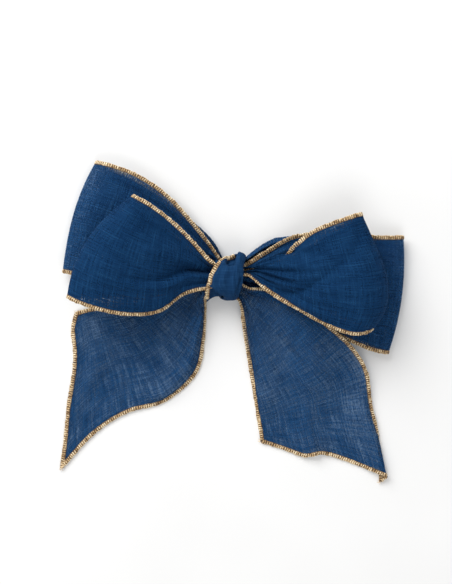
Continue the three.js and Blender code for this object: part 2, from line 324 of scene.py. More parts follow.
def weave_bump(t, uv, height, strength):
    """Bump of the plain weave, with height added to the crossing of the threads."""
    split = t.nodes.new("ShaderNodeSeparateXYZ")
    t.links.new(uv, split.inputs[0])
    turn = 2 * math.pi / WEAVE_PITCH
    wave = [math_node(t, "SINE", math_node(t, "MULTIPLY", split.outputs[k], turn)) for k in (0, 1)]
    crossing = math_node(t, "MULTIPLY", math_node(t, "MULTIPLY", *wave), 0.4)
    bump = t.nodes.new("ShaderNodeBump")
    bump.inputs["Strength"].default_value = strength
    bump.inputs["Distance"].default_value = 0.35 * MM
    t.links.new(math_node(t, "ADD", crossing, height), bump.inputs["Height"])
    return bump.outputs[0]


def linen_threads(t, uv):
    """Tone of the uneven warp and weft threads, and the thicker slubs among them."""
    warp = noise(t, stretched(t, uv, 45, 1000), 1.0, 2.0, 0.65)
    weft = noise(t, stretched(t, uv, 1000, 45), 1.0, 2.0, 0.65)
    threads = weighted(t, warp, 0.5, weft, 0.5)
    slub_a = noise(t, stretched(t, uv, 24, 520), 1.0, 1.0)
    slub_b = noise(t, stretched(t, uv, 520, 24), 1.0, 1.0)
    return threads, math_node(t, "MAXIMUM", slub_a, slub_b)


def linen_surface(t, colour, rough, normal):
    b = t.nodes.new("ShaderNodeBsdfPrincipled")
    t.links.new(colour, b.inputs["Base Color"])
    b.inputs["Roughness"].default_value = rough
    b.inputs["Specular IOR Level"].default_value = 0.06
    b.inputs["Sheen Weight"].default_value = 0.05
    b.inputs["Sheen Roughness"].default_value = 0.4
    b.inputs["Sheen Tint"].default_value = (0.25, 0.5, 1.0, 1)
    t.links.new(normal, b.inputs["Normal"])
    return b.outputs[0]


# Where on the ramp each tone stands, and its red, green and blue.
LINEN_TONES = [(0.30, (0.0036, 0.022, 0.068)), (0.46, (0.0074, 0.040, 0.112)),
               (0.60, (0.0165, 0.066, 0.166)), (0.74, (0.060, 0.125, 0.260))]
KNOT_TONES = [(0.30, (0.0034, 0.021, 0.066)), (0.48, (0.0064, 0.035, 0.100)),
              (0.62, (0.013, 0.056, 0.145)), (0.76, (0.042, 0.100, 0.220))]
SLUB_TONE = (0.040, 0.125, 0.27)


# A colour scaled channel by channel: painted light where the factor is above one, painted shade where it
# is below one.
def with_painted_light(colour, painted_light_scale):
    return tuple(k * c for k, c in zip(painted_light_scale, colour))


def linen_material(name, clear, painted_light_scale):
    """Open plain-weave linen; clear is how much light passes each face, and the colour scale multiplies
    its colour: painted light above one, painted shade below one.
    """
    m, t, out = nodes_of(name)
    uv = weave_uv(t)
    threads, slub = linen_threads(t, uv)
    cloud = noise(t, uv, 30, 3.0, 0.55)
    tone = weighted(t, threads, 0.85, cloud, 0.15)
    # The ramp tones and the slub tone are all scaled by the painted light and shade.
    colour = ramp(t, tone, [(at, with_painted_light(rgb, painted_light_scale)) for at, rgb in LINEN_TONES])
    specks = ramp(t, slub, [(0.62, (0, 0, 0)), (0.76, (1, 1, 1))])
    mix = t.nodes.new("ShaderNodeMix")
    mix.data_type = "RGBA"
    t.links.new(math_node(t, "MULTIPLY", specks, 0.40), mix.inputs["Factor"])
    t.links.new(colour, mix.inputs["A"])
    mix.inputs["B"].default_value = (*with_painted_light(SLUB_TONE, painted_light_scale), 1)
    normal = weave_bump(t, uv, math_node(t, "ADD", threads, math_node(t, "MULTIPLY", slub, 0.8)), 0.55)
    cloth = linen_surface(t, mix.outputs["Result"], 0.85, normal)
    holes = noise(t, uv, 780, 1.0, 0.6)
    patch = noise(t, uv, 17, 2.0, 0.5)
    thin_warp = noise(t, stretched(t, uv, 42, 820), 1.0, 1.0)
    thin_weft = noise(t, stretched(t, uv, 820, 42), 1.0, 1.0)
    thin = math_node(t, "ADD", thin_warp, thin_weft)
    in_patches = math_node(t, "MULTIPLY_ADD", math_node(t, "SUBTRACT", patch, 0.5), 0.55, clear)
    with_holes = math_node(t, "MULTIPLY_ADD", math_node(t, "SUBTRACT", holes, 0.52), 1.0, in_patches)
    open_weave = math_node(t, "MULTIPLY_ADD", math_node(t, "SUBTRACT", thin, 1.0), 1.1, with_holes)
    clearness = math_node(t, "MINIMUM", math_node(t, "MAXIMUM", open_weave, 0.05), 0.80)
    gap = t.nodes.new("ShaderNodeBsdfTransparent")
    gap.inputs["Color"].default_value = (0.80, 0.90, 1.0, 1)
    ms = t.nodes.new("ShaderNodeMixShader")
    t.links.new(clearness, ms.inputs[0])
    t.links.new(cloth, ms.inputs[1])
    t.links.new(gap.outputs[0], ms.inputs[2])
    t.links.new(ms.outputs[0], out.inputs[0])
    return m


def plain_linen(name):
    """Linen of the knot, many layers deep, so nothing shows through."""
    m, t, out = nodes_of(name)
    uv = weave_uv(t)
    threads, slub = linen_threads(t, uv)
    colour = ramp(t, threads, KNOT_TONES)
    normal = weave_bump(t, uv, math_node(t, "ADD", threads, math_node(t, "MULTIPLY", slub, 0.6)), 0.55)
    t.links.new(linen_surface(t, colour, 0.85, normal), out.inputs[0])
    return m


def thread_material(name, stops, metallic, rough):
    m, t, out = nodes_of(name)
    tc = t.nodes.new("ShaderNodeTexCoord")
    grain = noise(t, tc.outputs["Object"], 900, 2.0, 0.6)
    patch = noise(t, tc.outputs["Object"], 240, 2.0, 0.5)
    tone = weighted(t, grain, 0.55, patch, 0.45)
    colour = ramp(t, tone, stops)
    bump = t.nodes.new("ShaderNodeBump")
    bump.inputs["Strength"].default_value = 0.6
    bump.inputs["Distance"].default_value = 0.12 * MM
    fine = noise(t, tc.outputs["Object"], 3200, 1.0)
    t.links.new(fine, bump.inputs["Height"])
    b = t.nodes.new("ShaderNodeBsdfPrincipled")
    t.links.new(colour, b.inputs["Base Color"])
    b.inputs["Metallic"].default_value = metallic
    t.links.new(math_node(t, "MULTIPLY_ADD", grain, 0.25, rough), b.inputs["Roughness"])
    t.links.new(bump.outputs[0], b.inputs["Normal"])
    t.links.new(b.outputs[0], out.inputs[0])
    return m


# One navy linen in two copies. The back loops and tails get a little painted light (colour scaled above
# one). The front loops get heavy painted shade (colour scaled well below one) and let less light through.
linen = linen_material("navy_linen", 0.45, (1.05, 1.10, 1.12))
front_linen_painted_shade = linen_material("navy_linen_front_painted_shade", 0.08, (0.44, 0.68, 0.76))
knot_linen = plain_linen("navy_linen_layers")
GOLD_TONES = [(0.36, (0.20, 0.105, 0.040)), (0.46, (0.62, 0.40, 0.18)), (0.58, (1.0, 0.86, 0.60))]
# Darker gold for the under thread and the core: painted shade for the gaps between the stitches.
UNDER_TONES_PAINTED_SHADE = [(0.34, (0.050, 0.026, 0.012)), (0.50, (0.18, 0.105, 0.050)), (0.64, (0.62, 0.44, 0.24))]
WIRE_TONES = [(0.30, (0.03, 0.07, 0.03)), (0.60, (0.06, 0.13, 0.06)), (0.80, (0.10, 0.18, 0.09))]
gold = thread_material("gold_thread", GOLD_TONES, 0.30, 0.32)
gold_core_painted_shade = thread_material("gold_thread_under_painted_shade", UNDER_TONES_PAINTED_SHADE, 0.2, 0.5)
cinch_green = thread_material("lacquered_wire", WIRE_TONES, 0.0, 0.4)

# ---------------------------------------------------------------- ribbon sections, mm
# lower and upper selvedge stations from the knot outwards (and back, for a loop),
# and how far the cloth between them bellies out there.

BACK_LEFT = dict(
    lower=[(-8, -3, 9), (-17.5, -5, 10.5), (-42, -6, 12), (-72, -7, 14.5), (-105, -4, 16.5),
           (-129, 2, 16.5), (-137.5, 4, 9.5), (-128, 3, 3.6), (-100, 0, 2.3), (-62, -4, 2.6),
           (-38, -5, 3.2), (-17.5, -5, 4.6), (-8, -3, 5)],
    upper=[(-5, 11, 10), (-14.5, 25, 11.5), (-27, 41, 13), (-50, 66, 16), (-76, 83.5, 18.5),
           (-101, 92.5, 18.5), (-110, 94.5, 10.5), (-100, 90.5, 3.6), (-74, 79, 2.3), (-45, 57, 3),
           (-25, 42, 5.5), (-11.5, 28, 7), (-3.5, 13, 6.5)],
    belly=[(0, 0, 0), (0, 0, 0), (0, 0, 0.5), (0, 0, 2), (0, 0, 2.5), (-2, 1, 2),
           (-5, 1.5, 0), (-2, 1, -1.4), (0, 0, -0.6), (0, 0, -0.4), (0, 0, 0), (0, 0, 0), (0, 0, 0)],
    skew=-0.3, tuck=(6, 0.76, 0.82))
BACK_RIGHT = dict(
    lower=[(8, -7, 9), (16, -12.5, 10.5), (37, -22, 11), (63, -34, 12), (95, -51, 12.8),
           (122, -62, 12.8), (133.8, -64, 7.5), (124, -61, 3.3), (98, -50, 2.3), (62, -33, 2.6),
           (38, -21, 3.2), (16, -9, 4.6), (8, -6, 5)],
    upper=[(7, 5, 12), (14, 8.8, 13.5), (32.5, 20.5, 15.5), (55, 32.6, 15.5), (92, 34, 16),
           (127, 32, 17), (146, 32.4, 9.5), (136, 32, 3.5), (104, 32, 2.3), (64, 33, 2.8),
           (39, 31.5, 6), (17.5, 17.5, 8.5), (8, 7, 7)],
    belly=[(0, 0, 0), (0, 0, 0), (0, 0, 0), (0, 0, 0.8), (0, 0, 1.2), (2, 0, 1),
           (5, -1, 0), (2, 0, -1.2), (0, 0, -0.6), (0, 0, -0.4), (0, 0, 0), (0, 0, 0), (0, 0, 0)],
    skew=0, tuck=(6, 0.70, 0.78))
FRONT_LEFT = dict(
    lower=[(-8, -8, 25), (-18, -10, 26.5), (-36, -15, 29), (-56, -29, 33), (-82, -31.5, 38.5),
           (-112, -25, 43), (-130.5, -17, 37), (-120, -17, 29), (-94, -17, 26), (-58, -13, 25),
           (-18, -8, 22), (-8, -6, 21)],
    upper=[(-5, 7, 26.5), (-12.5, 10.5, 28), (-30, 29, 32.5), (-47, 45, 39), (-61, 55.5, 45),
           (-71, 61.5, 47), (-77, 64.5, 40), (-71, 59, 32.5), (-57, 47, 29.5), (-38, 27, 27),
           (-15, 8, 22), (-6, 6, 21)],
    belly=[(0, 0, 0), (0, 0, 0), (0, 0, 3), (-1, 0, 7), (-3, 1, 8), (-7, 4.5, 6.5),
           (-9.5, 6.4, 0), (-6, 4, -2.5), (0, 0, -2.5), (0, 0, -1), (0, 0, 0), (0, 0, 0)],
    skew=0.15)
FRONT_RIGHT = dict(
    lower=[(7, -1, 25), (15, 1, 26.5), (34, -13.5, 28.5), (57, -27.5, 32), (80, -40, 36.5),
           (103, -47.5, 41), (117, -44, 35.5), (109, -40, 28.5), (87, -31, 26), (52, -9, 24),
           (16.5, 1, 19.5), (7, 0.5, 19.5)],
    upper=[(7, 6, 26), (15, 7, 27), (34, 14, 29.5), (50, 21.5, 33), (69, 35.6, 38.8),
           (95, 46, 44), (108.5, 50, 37.5), (102, 45.5, 30), (81, 34, 27), (50, 14.5, 24.5),
           (16.5, 5, 20.5), (7, 4.5, 20)],
    belly=[(0, 0, 0), (0, 0, 0), (0, 0, 2), (0, 0, 6), (2, 0, 9), (11, -1, 7.5),
           (15.5, -1.5, 0), (9, -1, -2.5), (0, 0, -2.5), (0, 0, -1), (0, 0, 0), (0, 0, 0)],
    skew=1.0, tuck=(5.5, 0.30, 0.22))
TAIL_LEFT = dict(
    lower=[(-9, -9, 19), (-17.4, -14.5, 19.5), (-19, -31, 5.5), (-20.5, -53, 2.5), (-26.5, -80, 1.6),
           (-53, -104.5, 1.3), (-84, -113.5, 1.3), (-112, -131, 1.3), (-139.5, -160.5, 1.3)],
    upper=[(-11, -6, 16), (-21.5, -7.5, 17), (-40, -12.5, 14.5), (-62, -17.5, 10.5), (-82, -22, 7),
           (-98, -25, 4.5), (-110, -27, 3), (-120, -29, 2), (-127.5, -31.5, 1.4)],
    belly=[(0, 0, 0), (0, 0, 0), (0, 0, 1.5), (0, 0, 2.5), (2, 1, 1.5),
           (3, 0, 0.6), (4, 0, 0.3), (3, 0, 0.2), (2.5, 0, 0.1)],
    skew=0, end_wave=[(0, 0), (0.20, -1.6), (0.42, -2.8), (0.63, 0.6), (0.75, 0.2), (0.88, -3.2),
                      (0.95, -3.2), (1, 1.0)])
TAIL_RIGHT = dict(
    lower=[(5, -14, 11), (10.5, -22.5, 11), (13, -42, 6), (16.5, -64.5, 2.8), (20, -85.5, 1.8),
           (23, -104, 1.6), (25, -117, 1.6), (27, -129, 1.5), (28.3, -138.6, 1.4)],
    upper=[(8, -6, 15), (17.5, -10.5, 16.5), (31, -11.5, 18), (55, -21, 19.5), (80, -39.5, 19.6),
           (101, -58, 17), (114.5, -78, 9), (121, -114, 2.6), (139.5, -170, 2.0)],
    belly=[(0, 0, 0), (0, 0, 0), (-1, 0, 1), (-2, 0, 1), (-2, -4, 0.5),
           (-1, -5, 0.2), (0, -2, 0.2), (0, 2, 0.2), (0, 0, 0.2)],
    skew=0, end_wave=[(0, 0), (0.19, -1.3), (0.30, -2.6), (0.35, -1.6), (0.43, 4.2), (0.52, 6.0),
                      (0.66, 5.0), (0.93, 1.4), (1, 0)])

# The right tail's outer corner is turned under along this line, mm.
CORNER_FROM, CORNER_TO = (121.6, -117.0), (131.2, -165.0)
CORNER_ROLL = 0.9 * MM     # radius of the turn

# Creases: (u from, u to, v from, v to, depth mm, width below mm, width above mm, taper, bend).
# Negative depth is a valley seen from the front of that layer; bend above 1 curves the
# line, so that it leaves the knot steeply and then levels off.
CREASES = {
    "front_loop_left": [
        (0.05, 0.42, 0.72, 0.31, -9.0, 2.0, 8.0, 0.9, 3.2),
        (0.05, 0.34, 0.62, 0.25, 2.4, 5.0, 2.2, 1.0, 3.0),
        (0.05, 0.27, 0.86, 0.72, -2.6, 2.5, 3.0, 1.0, 1.6),
        (0.04, 0.24, 0.28, 0.12, -2.4, 2.5, 3.0, 1.0, 1.5),
        (0.05, 0.20, 0.93, 0.90, -1.4, 1.5, 2.0, 1.0, 1.0),
        (0.12, 0.46, 0.66, 0.58, 1.8, 9.0, 8.0, 1.0, 1.0),
        (0.96, 0.70, 0.35, 0.30, -3.0, 4.0, 4.0, 1.0, 1.0),
        (0.96, 0.66, 0.62, 0.70, 3.0, 4.5, 4.5, 1.0, 1.0),
    ],
    "front_loop_right": [
        (0.05, 0.38, 0.80, 0.58, -7.0, 4.0, 2.2, 0.8, 1.5),
        (0.05, 0.38, 0.62, 0.36, -6.5, 2.4, 2.8, 0.9, 1.5),
        (0.05, 0.36, 0.44, 0.14, -5.0, 2.4, 2.8, 0.9, 1.3),
        (0.05, 0.24, 0.24, 0.06, -2.0, 1.8, 2.0, 1.0, 1.0),
        (0.05, 0.34, 0.72, 0.47, 2.6, 2.4, 2.6, 1.0, 1.5),
        (0.05, 0.30, 0.52, 0.24, 2.2, 2.2, 2.4, 1.0, 1.4),
        (0.22, 0.50, 0.12, 0.86, -5.5, 9.0, 8.0, 0.5, 1.0),
        (0.28, 0.46, 0.96, 0.48, -2.4, 6.0, 5.0, 0.8, 1.0),
        (0.20, 0.46, 0.78, 0.90, 1.6, 7.0, 5.0, 1.0, 1.0),
        (0.96, 0.70, 0.38, 0.30, 3.0, 4.0, 4.0, 1.0, 1.0),
        (0.96, 0.66, 0.66, 0.72, -3.0, 4.0, 4.0, 1.0, 1.0),
    ],
    "back_loop_left": [
        (0.05, 0.40, 0.30, 0.22, -2.6, 4.0, 4.0, 1.0, 1.0),
        (0.05, 0.44, 0.62, 0.56, -3.2, 5.0, 4.0, 1.0, 1.0),
        (0.05, 0.30, 0.82, 0.80, 1.5, 3.0, 2.5, 1.0, 1.0),
        (0.05, 0.42, 0.84, 0.86, -6.0, 8.0, 6.0, 0.6, 1.0),
        (0.96, 0.68, 0.40, 0.34, 1.2, 4.0, 4.0, 1.0, 1.0),
    ],
    "back_loop_right": [
        (0.05, 0.40, 0.34, 0.30, -2.4, 4.0, 3.0, 1.0, 1.0),
        (0.05, 0.44, 0.66, 0.62, -2.2, 4.0, 3.0, 1.0, 1.0),
        (0.96, 0.68, 0.40, 0.34, 1.2, 4.0, 4.0, 1.0, 1.0),
    ],
    "tail_left": [
        (0.19, 0.70, 0.24, 0.05, 10.0, 6.0, 11.0, 0.5, 1.0),
        (0.08, 0.50, 0.66, 0.34, -3.0, 4.0, 5.0, 0.8, 1.2),
        (0.08, 0.46, 0.80, 0.58, 2.0, 4.0, 5.0, 1.0, 1.0),
        (0.30, 0.78, 0.50, 0.30, -1.6, 7.0, 9.0, 0.5, 1.0),
        (0.40, 0.90, 0.72, 0.60, 1.2, 9.0, 9.0, 0.6, 1.0),
    ],
    "tail_right": [
        (0.06, 0.56, 0.34, 0.66, 6.0, 3.0, 6.0, 0.8, 1.0),
        (0.06, 0.50, 0.20, 0.40, -2.8, 3.0, 4.0, 0.8, 1.0),
        (0.06, 0.46, 0.66, 0.82, -3.0, 4.0, 4.0, 0.8, 1.0),
        (0.06, 0.36, 0.86, 0.92, 1.8, 3.0, 3.0, 1.0, 1.0),
        (1.08, 0.74, 0.40, 0.46, 3.4, 6.0, 4.0, 1.0, 1.0),
        (0.50, 0.92, 0.30, 0.20, 1.2, 9.0, 9.0, 0.6, 1.0),
    ],
}


def crease_height(u, v, width, creases):
    total = np.zeros_like(u + v)
    for u0, u1, v0, v1, depth, below, above, taper, bend in creases:
        t = (u - u0) / (u1 - u0)
        inside = (t > -0.25) & (t < 1)
        tc = np.clip(t, 0, 1)
        centre = v1 + (v0 - v1) * (1 - tc) ** bend
        x = (v - centre) * width
        w = np.where(x < 0, below, above) * (0.5 + 0.5 * tc)
        profile = np.exp(-(np.abs(x) / w) ** 1.5)
        fade = np.clip(1 - tc, 0, 1) ** taper * smooth((t + 0.25) / 0.3)
        total = total + np.where(inside, depth * profile * fade, 0)
    return total


def wrinkles(u, v, length, seed, size):
    rng = np.random.default_rng(seed)
    total = np.zeros_like(u + v)
    for _ in range(14):
        wave = rng.uniform(18, 60)
        angle = rng.uniform(-0.9, 0.9)
        phase = rng.uniform(0, 2 * math.pi)
        amp = size * rng.uniform(0.3, 1.0) * wave / 60
        x = (u * length * math.cos(angle) * 0.5 + v * 100 * math.sin(angle) + v * 30) / wave
        total = total + amp * np.sin(2 * math.pi * x + phase)
    return total


def gathers(u, v, width, near, loop, seed):
    """Pleats that take up the cloth where the ribbon is drawn in narrower than it is."""
    rng = np.random.default_rng(seed + 50)
    ratio = np.maximum(1.0, 100 / np.maximum(width, 8))
    slope = np.minimum(np.sqrt(2 * (ratio ** 2 - 1)), 1.57 * ratio)
    total = np.zeros_like(u + v)
    rear = smooth((u - 0.5) / 0.1) if loop else 0.35
    for waves, share in ((5, 0.34), (8, 0.16)):
        p1, p2, p3 = rng.uniform(0, 1, 3)
        phase = waves * v + 0.35 * np.sin(2 * math.pi * (1.3 * v + p1)) + p2
        patch = 0.75 + 0.4 * np.sin(2 * math.pi * (2.1 * v + p3))
        amp = np.minimum(slope * width / (2 * math.pi * waves), 4.0)
        strength = share * (0.55 + 0.9 * near + 0.9 * rear)
        total = total + amp * strength * patch * np.cos(2 * math.pi * phase)
    return total


def lie_on_table(p):
    """Keep cloth just clear of the surface the bow lies on, easing it up, not cutting it."""
    over = p[..., 2] - CLEAR
    p[..., 2] = CLEAR + 0.5 * (over + np.sqrt(over ** 2 + (0.5 * MM) ** 2))
    return p


MOST_TUCKED = 0.32         # of the width at one place
TUCK_DROP = 4.6            # mm below the fold


def tuck_under(u, v, width, tuck):
    """Where a selvedge is turned under: its new place across, its drop in mm, how far it is turned."""
    strip, none, full = tuck
    amount = smooth((u - none) / (full - none))
    fold = 1 - np.minimum(strip / width, MOST_TUCKED)
    turned = np.where(v < fold, v / fold, 1 - (v - fold) * 0.9)
    drop = np.where(v < fold, 0, TUCK_DROP * smooth((v - fold) * width / 2.6))
    return v + amount * (turned - v), amount * drop, amount


def turn_corner(p):
    """The right tail's outer corner folded under along its line."""
    a, b = np.array(CORNER_FROM) * MM, np.array(CORNER_TO) * MM
    d = (b - a) / np.linalg.norm(b - a)
    n = np.array([-d[1], d[0]])
    down = (p[..., :2] - a) @ d
    out = (p[..., :2] - a) @ n - 0.15 * np.maximum(0, -down)
    r = CORNER_ROLL
    raise_by = 2 * r * smooth(1 + out / (16 * MM)) * smooth(down / (30 * MM) + 0.6)
    angle = np.clip(out / r, 0, math.pi)
    shift = np.where(out > 0, r * np.sin(angle) - np.maximum(out - math.pi * r, 0) - out, 0)
    drop = np.where(out > 0, r * (1 - np.cos(angle)), 0)
    p[..., :2] += shift[..., None] * n
    p[..., 2] += raise_by - drop
    return p


SELVEDGE_BAND = 0.06       # share of the width beside each selvedge that the creases leave flat
LOOP_END = 0.52            # how far along a loop its outer bend is
LOOP_WAVES, TAIL_WAVES = 0.42, 1.15            # height of the wrinkles, mm


def end_cut(at_by, uu, vv):
    """How far the cut end of a tail is drawn back, mm, at each point."""
    at, by = np.array(at_by).T
    near_by = np.clip(vv[:1] + np.linspace(-0.04, 0.04, 7)[:, None], 0, 1)
    wave = np.broadcast_to(np.interp(near_by, at, by).mean(0), vv.shape)
    return wave * smooth((uu - 0.8) / 0.2)


def relief(name, uu, across, width, loop, length):
    """Height of the creases, gathers and wrinkles over the plain sheet, mm."""
    reach = np.minimum(uu, 1 - uu) if loop else uu
    near = 1 - smooth((reach - 0.03) / (0.13 if loop else 0.16))
    even = smooth(np.abs(uu - LOOP_END) / 0.15) if loop else 1
    seed = sum(ord(c) for c in name)
    height = crease_height(uu, across, width, CREASES[name])
    height = height + gathers(uu, across, width, near, loop, seed) * even
    waves = wrinkles(uu, across, length, seed, LOOP_WAVES if loop else TAIL_WAVES)
    return height + waves * even * smooth(width / 60)


def ribbon_grid(name, section, loop, rows, cols, length):
    """Points of one section's cloth, knot end first, and its creases and gathers on it."""
    u = np.linspace(0, 1, rows)
    v = np.linspace(0, 1, cols)
    lower, upper = guide(section["lower"], u) * MM, guide(section["upper"], u) * MM
    belly = guide(section["belly"], u) * MM
    uu, vv = np.broadcast_arrays(u[:, None], v[None, :])
    width = np.linalg.norm(upper - lower, axis=1)[:, None] / MM
    across, drop, turned = tuck_under(uu, vv, width, section["tuck"]) if "tuck" in section else (vv, 0, 0)
    arch = 4 * across * (1 - across) * (1 + section["skew"] * (0.5 - across))
    p = (lower[:, None] * (1 - across)[..., None] + upper[:, None] * across[..., None]
         + belly[:, None] * arch[..., None])
    flat = (lower[:, None] * (1 - vv)[..., None] + upper[:, None] * vv[..., None]
            + belly[:, None] * (4 * vv * (1 - vv))[..., None])
    outward = -1 if name.endswith("left") else 1
    n = grid_normals(flat) * outward
    if "tuck" in section:
        n = np.stack([[np.interp(row, v, line[:, k]) for k in range(3)]
                      for row, line in zip(across, n)]).transpose(0, 2, 1)
    plain = smooth(vv / SELVEDGE_BAND) * np.maximum(smooth((1 - vv) / SELVEDGE_BAND), turned)
    height = relief(name, uu, across, width, loop, length) * plain
    p = p + n * (height * MM)[..., None]
    p[..., 2] -= drop * MM
    if "end_wave" in section:
        along = unit(np.gradient(flat, axis=0))
        p = p - along * (end_cut(section["end_wave"], uu, vv) * MM)[..., None]
    if name == "tail_right":
        p = turn_corner(p)
    return lie_on_table(p)


def flat_uv(p):
    """Arc length along the middle, and ribbon width across, in metres."""
    middle = p[:, p.shape[1] // 2]
    seg = np.linalg.norm(np.diff(middle, axis=0), axis=1)
    along = np.concatenate([[0], np.cumsum(seg)])
    across = np.linspace(0, RIBBON, p.shape[1])
    return np.stack(np.broadcast_arrays(along[:, None], across[None, :]), -1)


def dress(obj, body, start, end, *nodes, slot="linen"):
    """Hide the piece's nodes and bake its transform; slot and body are not used."""
    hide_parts(*nodes)
    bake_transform(obj)


def edging(name, edge, inner, body, start, end, nodes, frays=()):
    stitches, core = overlock(name, edge, inner, gold, gold_core_painted_shade, frays=frays)
    for piece in (stitches, core):
        dress(piece, body, start, end, *nodes, slot="gold_thread")
    return stitches, core


def inner_line(p, side, depth=3.0 * MM):
    """Points on the cloth about depth in from its selvedge."""
    q = p if side == 0 else p[:, ::-1]
    width = np.linalg.norm(q[:, -1] - q[:, 0], axis=1)
    col = np.clip(depth / np.maximum(width, 1e-4), 0.01, 0.2) * (q.shape[1] - 1)
    i = col.astype(int)
    t = (col - i)[:, None]
    r = np.arange(len(q))
    return q[r, i] * (1 - t) + q[r, i + 1] * t


# Rows of an edging that the fold above it hides, from the knot outwards, and that are left out.
HIDDEN_ROWS = {"front_loop_right_upper": 47}


def ribbon_section(name, section, length, start, end, material, edge_names):
    """One section's cloth and the overlocking of its two selvedges."""
    body = name + "_body"
    loop = "tail" not in name
    p = ribbon_grid(name, section, loop, *(LOOP_GRID if loop else TAIL_GRID), length)
    cloth = cloth_mesh(name + "_linen", p, flat_uv(p), material)
    dress(cloth, body, start, end, name)
    pieces = []
    for side, edge_name in enumerate(edge_names):
        edge = f"{name}_{edge_name}"
        first = HIDDEN_ROWS.get(edge, 0)
        pieces += edging(edge + "_overlock", p[first:, -side], inner_line(p, side)[first:],
                         body, start, end, [edge + "_edging", edge + "_wire"])
    return p, cloth, pieces


# For each section: its stations, its flat length in mm, and where it starts and ends
# turning from the knot's motion to its own, m. The front loops' lengths were lowered to pass the
# sheet check: their middle lines as built are 238 and 257 mm.
LOOPS = {
    "back_loop_left": (BACK_LEFT, 270, (-0.006, 0.003, 0.008), (-0.030, 0.015, 0.008)),
    "back_loop_right": (BACK_RIGHT, 280, (0.006, 0.001, 0.008), (0.030, 0.002, 0.008)),
    "front_loop_left": (FRONT_LEFT, 232, (-0.008, 0, 0.026), (-0.030, 0, 0.026)),
    "front_loop_right": (FRONT_RIGHT, 228, (0.008, 0, 0.026), (0.030, 0, 0.026)),
}
for name, (section, length, start, end) in LOOPS.items():
    # The front loops take the copy darkened with painted shade.
    material = front_linen_painted_shade if "front" in name else linen
    p, cloth, pieces = ribbon_section(name, section, length, start, end, material, ("lower", "upper"))

TAILS = {
    "tail_left": (TAIL_LEFT, 215, (-0.008, -0.010, 0.013), (-0.030, -0.024, 0.013)),
    "tail_right": (TAIL_RIGHT, 200, (0.006, -0.010, 0.013), (0.016, -0.034, 0.013)),
}
BOTH_ENDS = ((0, 1.0), (-1, 1.0))                           # row and sideways spread of the frays
for name, (section, length, start, end) in TAILS.items():
    p, cloth, pieces = ribbon_section(name, section, length, start, end, linen, ("inner", "outer"))
    pieces += edging(f"{name}_end_overlock", p[-1], p[-4], name + "_body", start, end,
                     [f"{name}_end_hem"], frays=BOTH_ENDS)

# ---------------------------------------------------------------- knot

KNOT_Y, KNOT_Z, KNOT_R = -1.0, 17.0, 19.5      # its middle and radius, mm
WRAP_THICKNESS = 1.3                           # mm
WRAP_WIDTH = 28 * MM
# Lines on the knot's face, from and to (x, y) in mm, and the pit where two of its folds meet.
TOP_FOLD = (9.4, 20.0), (0.6, 6.0)
SIDE_CREASE = (11.0, -1.0), (5.6, -18.0)
FACE_FOLD = (5.0, 13.0), (-9.0, -11.0)
PIT = (2.2, 12.6)
PEAK_X = 9.6
# Rims of the wrap, turn by turn in degrees from its top (+Y) over its face to its foot.
LEFT_RIM = [(0, 6.5), (18, 5.5), (27, -1.0), (44, -5.9), (61, -9.3), (77, -12.4), (89, -14.7),
            (99, -16.2), (109, -15.6), (119, -12.4), (130, -9.3), (145, -4.6), (160, -3), (190, -6),
            (270, -11), (330, -3), (360, 6.5)]
RIGHT_RIM = [(0, 15.5), (25, 14.6), (45, 13.2), (61, 12.3), (77, 12.8), (95, 12.2), (110, 12.0),
             (130, 10.6), (155, 9.0), (190, 8.8), (270, 12), (330, 14.5), (360, 15.5)]


def rim(table, turn):
    """Rim of the wrap at a turn, eased over the corners of its table."""
    at, x = np.array(table, float).T
    ease = np.radians(np.linspace(-5, 5, 5))
    return np.mean([np.interp((turn + k) % (2 * math.pi), np.radians(at), x) for k in ease], 0)


def line_frame(x, y, a, b):
    """How far (x, y) lies along the line from a to b, and to its left, mm."""
    d = np.array(b) - np.array(a)
    d = d / np.linalg.norm(d)
    return (x - a[0]) * d[0] + (y - a[1]) * d[1], (x - a[0]) * -d[1] + (y - a[1]) * d[0]


def squared(a):
    """A sine or cosine pushed outwards, which makes a circle a little square."""
    return np.sign(a) * np.abs(a) ** 0.85


def knot_surface(turn, s, inset=0.0):
    """The wrap at a turn and at share s from its left rim to its right one."""
    left, right = rim(LEFT_RIM, turn), rim(RIGHT_RIM, turn)
    x = left + (right - left) * s
    c, sn = np.cos(turn), np.sin(turn)
    y = KNOT_Y + KNOT_R * squared(c)
    front = smooth((sn + 0.1) / 0.6)
    roll = np.where(s < 0.5, 1.3, 3.4) * np.abs(2 * s - 1) ** 4 * np.where(sn < -0.5, 0.25, 1)
    along, beside = line_frame(x, y, *TOP_FOLD)
    step = smooth(-beside / 1.4) * np.exp(-(np.minimum(beside, 0) / 5.0) ** 2) * smooth((along + 4) / 5)
    dimple = 8.0 * step * (1 - smooth((along - 7) / 7)) * smooth((s - 0.05) / 0.15)
    peak = 3.6 * np.exp(-np.abs((x - PEAK_X) / 3.0) ** 1.4) * np.exp(-(turn / 0.5) ** 2)
    along, beside = line_frame(x, y, *SIDE_CREASE)
    crease = 2.0 * np.exp(-(beside / 0.75) ** 2) * smooth((along + 2) / 6)
    strip = 0.9 * smooth(beside / 1.0) * smooth((along + 2) / 6)
    pit = 12.0 * np.exp(-((x - PIT[0]) / 3.1) ** 2 - ((y - PIT[1]) / 3.2) ** 2)
    along, beside = line_frame(x, y, *FACE_FOLD)
    fold = 0.7 * np.exp(-(beside / 2.6) ** 2) * smooth(along / 8) * smooth((28 - along) / 10)
    ripple = 0.22 * np.sin(x * 0.7 + turn * 2.6) + 0.16 * np.sin(x * 1.6 - turn * 3.7 + 1)
    r = KNOT_R - inset - roll + (peak + fold - dimple - pit - crease - strip + ripple) * front
    y = KNOT_Y + r * squared(c)
    z = KNOT_Z + r * squared(sn)
    return np.stack([x, y, np.maximum(inset, z)], -1) * MM


def on_knot(piece, node):
    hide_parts(node)
    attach(piece, "knot")


